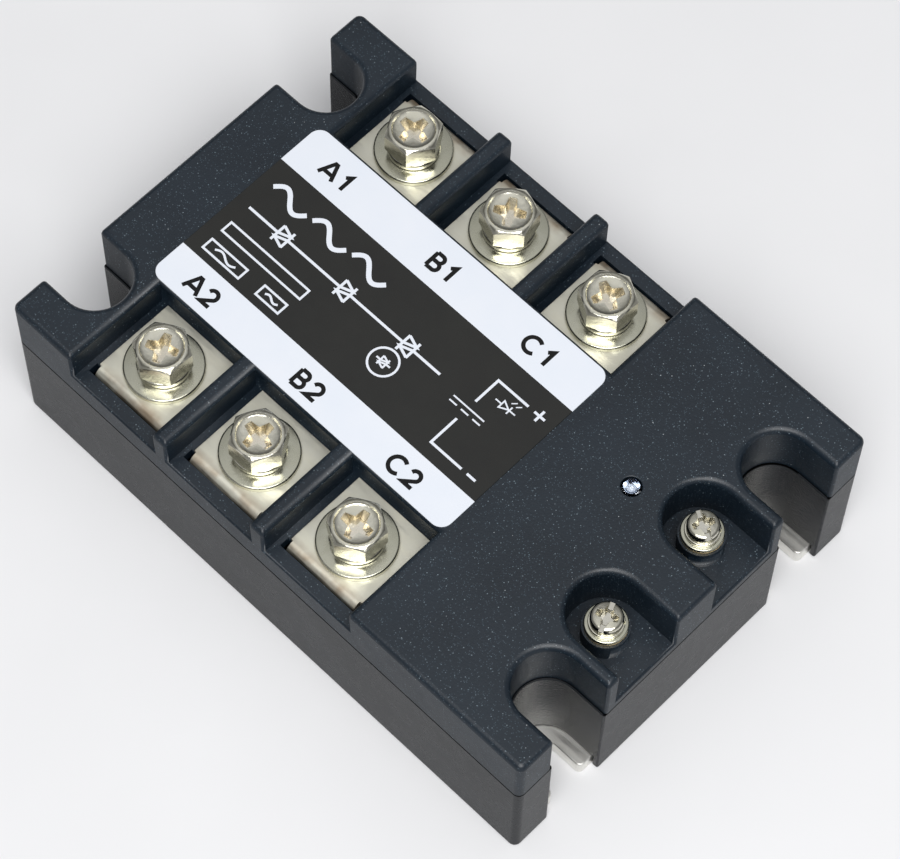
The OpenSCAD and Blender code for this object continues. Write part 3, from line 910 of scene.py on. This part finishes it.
def white_print():
    """Line symbols in white on the black band, in place of every word and mark."""
    bm = bmesh.new()
    left = LABEL_LOW.x + 2.7

    # three phase waves
    pen = 0.8
    for k in range(3):
        stroke(bm, wave_line(left + 8.4 * k, 5.05, 7.2, 2.6, 24), pen)

    # the three switched phases, one symbol in each
    pen = 0.44
    pitch = 13.2
    for k in range(3):
        x = left + 7.2 + k * pitch
        triac(bm, x, 0.0, 2.1, pen)
        stroke(bm, [(x + 2.5, 0), (x + (6.6 if k == 2 else pitch - 2.5), 0)], pen)
    stroke(bm, [(left, 0), (left + 4.7, 0)], pen)

    # blank rating fields, two of them with a wave
    pen = 0.36
    for x0, x1, y0, y1 in ((0, 16.6, -5.7, -3.7), (0, 7.6, -9.7, -7.7), (11.3, 16.0, -9.7, -7.7)):
        corners = [(left + x0, y0), (left + x1, y0), (left + x1, y1), (left + x0, y1)]
        stroke(bm, corners, pen, closed=True)
    stroke(bm, wave_line(left + 1.6, -8.7, 4.4, 0.9, 18), pen)
    stroke(bm, wave_line(left + 12.3, -8.7, 2.7, 0.6, 18), pen)

    # an insulated switch between input and output
    ring = (-6.6, -4.4)
    points = 28
    stroke(bm, arc(ring, 2.4, 0, 360 - 360 / points, points - 1), pen, closed=True)
    triac(bm, *ring, 1.15, 0.3)

    # control input bracket with its polarity
    pen = 0.42
    bracket, plus_x, plus_y, minus_y = 7.6, 15.95, 5.36, -8.8
    stroke(bm, [(13.7, plus_y), (bracket, plus_y), (bracket, 0.5)], pen)
    stroke(bm, [(bracket, -3.4), (bracket, minus_y), (13.8, minus_y)], pen)
    stroke(bm, [(14.9, plus_y), (17.0, plus_y)], pen)
    stroke(bm, [(plus_x, 4.3), (plus_x, 6.42)], pen)
    stroke(bm, [(14.9, minus_y), (16.6, minus_y)], pen)

    # direct current
    pen = 0.26
    stroke(bm, [(4.6, -1.0), (10.8, -1.0)], pen)
    for k in range(3):
        stroke(bm, [(4.6 + 2.35 * k, -1.9), (6.1 + 2.35 * k, -1.9)], pen)

    # the lamp: a diode with two rays
    pen = 0.24
    diode_x, bar_x, diode_y, half = 10.6, 12.15, 2.9, 0.7
    low_y, high_y = diode_y - half, diode_y + half
    stroke(bm, [(diode_x, low_y), (diode_x, high_y), (12.0, diode_y)], pen, closed=True)
    stroke(bm, [(bar_x, low_y), (bar_x, high_y)], pen)
    stroke(bm, [(9.4, diode_y), (diode_x, diode_y)], pen)
    stroke(bm, [(bar_x, diode_y), (13.3, diode_y)], pen)
    for x in (11.6, 12.5):
        stroke(bm, [(x, 3.95), (x + 0.65, 4.6)], 0.18)
    bmesh.ops.recalc_face_normals(bm, faces=bm.faces)
    piece("label_symbols", bm, ["label_film"], body="case")


# ---------------------------------------------------------------- build


top_cover()
lower_housing()
softened("base_plate", 0.18)
label()
dark_print()
white_print()
status_lamp()

HEX_TURN = {"a1": 0, "b1": -18, "c1": 30, "a2": 30, "b2": 2, "c2": 30}
CROSS_TURN = {"a1": -4, "b1": 31, "c1": 63, "a2": 25, "b2": -6, "c2": 10}
SLOT_TURN = {"plus": -27, "minus": 112}
for name in HEX_TURN:
    softened("terminal_" + name, 0.12)
    washer("flat_washer_" + name)
    spring_washer("spring_washer_" + name)
    power_screw("screw_" + name, HEX_TURN[name], CROSS_TURN[name])
for name in SLOT_TURN:
    softened("control_terminal_" + name, 0.08)
    washer("control_flat_washer_" + name, 0.2)
    spring_washer("control_spring_washer_" + name)
    control_screw("control_screw_" + name, SLOT_TURN[name])
softened("terminal_nuts", 0.15)
for node in (
    "circuit_board", "optocouplers", "snubber_capacitors", "current_regulator", "protection_diode",
):
    softened(node, 0.12)
for node, obj in NODES.items():
    if not obj.hide_render:
        obj.data.materials.clear()
        obj.data.materials.append(PAINT[SUBPARTS[node]])


# ---------------------------------------------------------------- stage


def floor():
    """A wide sheet of pale paper under the object."""
    bm = bmesh.new()
    bmesh.ops.create_grid(bm, x_segments=1, y_segments=1, size=1500)
    bm.transform(Matrix.Scale(MM, 4))
    mesh = bpy.data.meshes.new("floor")
    bm.to_mesh(mesh)
    bm.free()
    p = Paint("floor_paper", 0.7)
    p.colour(p.mix(p.remap(p.noise(60, 4), 0.3, 0.7), (0.80, 0.80, 0.81), (0.83, 0.83, 0.84)))
    p.bump(p.noise(30, 4), 0.2, 0.3)
    mesh.materials.append(p.mat)
    obj = bpy.data.objects.new("floor", mesh)
    bpy.context.scene.collection.objects.link(obj)


def soft_light(name, place, size, power):
    """A square softbox aimed at the object."""
    data = bpy.data.lights.new(name, "AREA")
    data.shape = "SQUARE"
    data.size = size * MM
    data.energy = power
    obj = bpy.data.objects.new(name, data)
    obj.location = Vector(place) * MM
    obj.rotation_euler = (-Vector(place)).to_track_quat("-Z", "Y").to_euler()
    bpy.context.scene.collection.objects.link(obj)


def surroundings(strength):
    """A studio sky: a bright patch almost overhead, a dark ring round it and a pale horizon."""
    bright_way = (-0.142, 0.152, 0.978)
    steps = ((0.0, 0.45), (0.45, 0.30), (0.62, 0.10), (0.8, 0.26), (0.93, 0.64), (0.985, 1.0))
    world = bpy.data.worlds.new("studio")
    bpy.context.scene.world = world
    world.use_nodes = True
    tree = world.node_tree
    coords = tree.nodes.new("ShaderNodeTexCoord")
    facing = tree.nodes.new("ShaderNodeVectorMath")
    facing.operation = "DOT_PRODUCT"
    facing.inputs[1].default_value = bright_way
    ramp = tree.nodes.new("ShaderNodeValToRGB")
    tree.links.new(coords.outputs["Generated"], facing.inputs[0])
    tree.links.new(facing.outputs["Value"], ramp.inputs[0])
    tree.links.new(ramp.outputs[0], tree.nodes["Background"].inputs["Color"])
    elements = ramp.color_ramp.elements
    for place, _ in steps[1:-1]:
        elements.new(place)
    for element, (place, level) in zip(elements, steps):
        element.position = place
        element.color = (level, level * 1.01, level * 1.03, 1)
    tree.nodes["Background"].inputs["Strength"].default_value = strength


def camera(aim, distance, azimuth, elevation, roll, lens):
    """A camera turned about the aim point; azimuth 0 looks along +Y and 90 along -X."""
    az, el, ro = (math.radians(v) for v in (azimuth, elevation, roll))
    back = Vector((math.sin(az) * math.cos(el), -math.cos(az) * math.cos(el), math.sin(el)))
    level = Vector((math.cos(az), math.sin(az), 0))
    up = back.cross(level)
    right = level * math.cos(ro) + up * math.sin(ro)
    up = back.cross(right)
    data = bpy.data.cameras.new("camera")
    data.lens = lens
    data.sensor_width = 36.0
    data.clip_start = 0.01
    obj = bpy.data.objects.new("camera", data)
    turn = Matrix((right, up, back)).transposed().to_4x4()
    obj.matrix_world = Matrix.Translation((Vector(aim) + back * distance) * MM) @ turn
    bpy.context.scene.collection.objects.link(obj)
    bpy.context.scene.camera = obj


floor()
surroundings(0.87)
soft_light("key", (420, -380, 1050), 800, 13.9)
camera(aim=(-2.49, 6.05, 0), distance=553.35, azimuth=42.9, elevation=63.65, roll=1.669, lens=142.07)
bpy.context.scene.view_settings.view_transform = "Standard"
